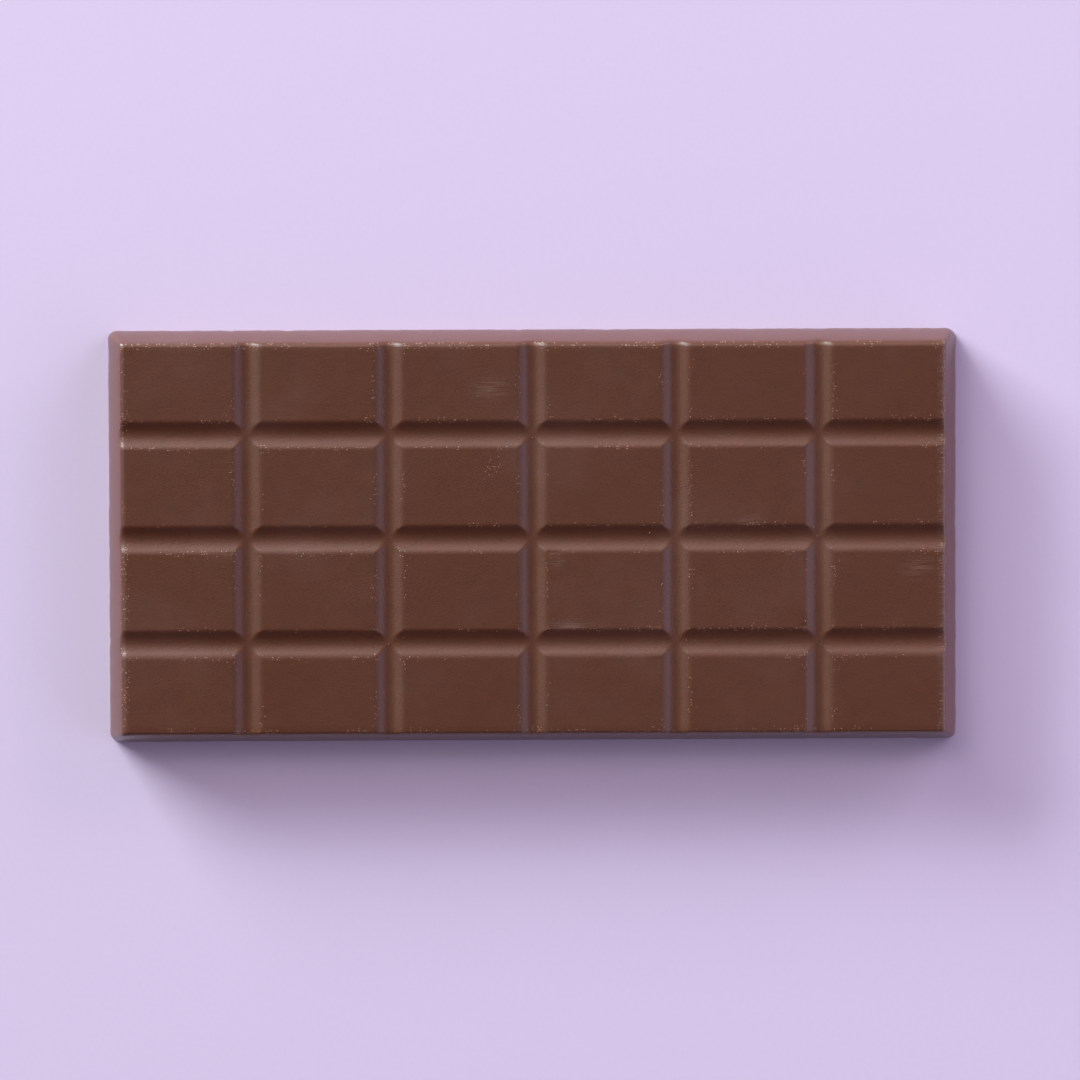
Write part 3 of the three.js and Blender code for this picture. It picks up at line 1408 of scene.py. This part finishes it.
@dataclass(frozen=True)
class Studio:
    """The paper that the bar lies on, the lights round it and the camera above it."""

    floor_half: float = 6.0
    floor_gap: float = 0.01 * MM
    room: str = "8F8B96"
    room_strength: float = 0.07
    camera_place: tuple[float, float, float] = (-0.038, 0.104, 1.65)
    camera_target: tuple[float, float, float] = (0.00132, -0.00097, 0.0)
    camera_roll: float = math.radians(-0.16)
    lens: float = 301.1
    sensor_width: float = 36.0
    camera_reach: float = 50.0
    softboxes: tuple[Softbox, ...] = (
        Softbox("window", -45, 12, 3.0, 1.8, 0.6, 0.44, "F5FFFD"),
        Softbox("window_top", -35, 24, 3.0, 1.6, 0.6, 0.095, "F5FFFD"),
        Softbox("skylight", -40, 46, 2.6, 1.2, 1.2, 0.195, "FFF2F8"),
        Softbox("skylight_west", -85, 48, 2.6, 1.2, 1.2, 0.033, "FFF2F8"),
        Softbox("skylight_east", 100, 55, 2.6, 1.2, 1.2, 0.024, "EFE3FF"),
        Softbox("skylight_north", 5, 46, 2.6, 1.2, 1.2, 0.04, "FFF2F8"),
        Softbox("ceiling", -20, 70, 2.4, 1.0, 0.7, 0.025, "FFF2F8"),
        Softbox("far_window", 50, 14, 3.0, 2.4, 0.8, 0.14, "F4E6FF"),
        Softbox("east_window", 112, 16, 3.0, 3.0, 1.0, 0.075, "EFDEFF"),
        Softbox("east_card", 88, 40, 1.0, 1.2, 0.45, 0.10, "EBE0FF"),
        Softbox("south_window", 180, 12, 3.0, 2.4, 0.8, 0.015, "F4E6FF"),
    )

    def build(self, paper: TwoToneFinish) -> None:
        """Lays the floor, sets the room's light, hangs the softboxes and aims the camera.

        Args:
            paper: What the floor is made of.
        """
        self._floor(paper)
        self._room()
        for softbox in self.softboxes:
            softbox.place()
        self._camera()
        bpy.context.scene.view_settings.view_transform = "Standard"

    def _floor(self, paper: TwoToneFinish) -> None:
        """Lays a flat sheet a hair below the bar's back, so that the two never coincide.

        Args:
            paper: What the sheet is made of.
        """
        signs = np.array([[-1, -1], [1, -1], [1, 1], [-1, 1]])
        corners = np.column_stack([signs * self.floor_half, np.full(4, -self.floor_gap)])
        floor = new_piece("paper_floor", corners, [[0, 1, 2, 3]])
        floor.data.materials.append(paper.build())

    def _room(self) -> None:
        """Fills the shadows with a weak, even light from all round."""
        world = bpy.data.worlds.new("room")
        world.use_nodes = True
        world.node_tree.nodes.clear()
        glow = add_node(
            world.node_tree,
            "ShaderNodeBackground",
            inputs={"Color": linear(self.room), "Strength": self.room_strength},
        )
        add_node(
            world.node_tree,
            "ShaderNodeOutputWorld",
            inputs={"Surface": glow.outputs["Background"]},
        )
        bpy.context.scene.world = world

    def _camera(self) -> None:
        """Puts a long lens above the bar, a little north and west of its middle."""
        data = bpy.data.cameras.new("camera")
        data.lens = self.lens
        data.sensor_width = self.sensor_width
        data.clip_end = self.camera_reach
        camera = bpy.data.objects.new("camera", data)
        place, target = Vector(self.camera_place), Vector(self.camera_target)
        backward = (place - target).normalized()
        right = Vector((0, 1, 0)).cross(backward).normalized()
        upward = backward.cross(right)
        turn = Matrix((right, upward, backward)).transposed().to_4x4()
        camera.matrix_world = (
            Matrix.Translation(place) @ turn @ Matrix.Rotation(self.camera_roll, 4, "Z")
        )
        bpy.context.scene.collection.objects.link(camera)
        bpy.context.scene.camera = camera


def settle(piece: bpy.types.Object, replaced: str | None = None) -> None:
    """Makes a piece ride on the bar's body and reports it.

    Args:
        piece: The finished piece.
        replaced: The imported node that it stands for, if any.
    """
    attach(piece, BODY)
    if replaced:
        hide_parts(replaced)
    piece.data.calc_loop_triangles()
    log.info("%s: %d triangles", piece.name, len(piece.data.loop_triangles))


def main() -> None:
    """Builds the bar, its crumbs and the studio."""
    logging.basicConfig(level=logging.INFO, format="%(message)s")
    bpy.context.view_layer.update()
    low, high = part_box(BAR_NODE)
    relief = TopRelief(
        across=GrooveSet(
            pitch=26.12 * MM,
            low_edges=mm(4.2, 5.6, 5.6, 5.2, 3.0),
            high_edges=mm(3.2, 3.2, 3.3, 3.5, 3.6),
            shifts=mm(0.11, -0.20, -0.15, -0.13, -0.07),
            section=GrooveSection(depth=0.63 * MM, slope=math.radians(19), floor_radius=3.8 * MM),
            low_crisp_turn=math.radians(8),
        ),
        along=GrooveSet(
            pitch=19.1 * MM,
            low_edges=mm(3.3, 2.5, 2.0),
            high_edges=mm(2.0, 2.2, 2.4),
            shifts=mm(-0.22, -0.20, -0.16),
            section=GrooveSection(depth=0.60 * MM, slope=math.radians(22), floor_radius=4.6 * MM),
        ),
    )
    bar = ChocolateBar(low, high, relief).build(MouldedMilkChocolate())
    settle(bar, BAR_NODE)
    crumbs = Crumbs(relief, high.z).build(BROKEN_MILK_CHOCOLATE)
    settle(crumbs)
    Studio().build(SMOOTH_PAPER)


if __name__ == "__main__":
    main()
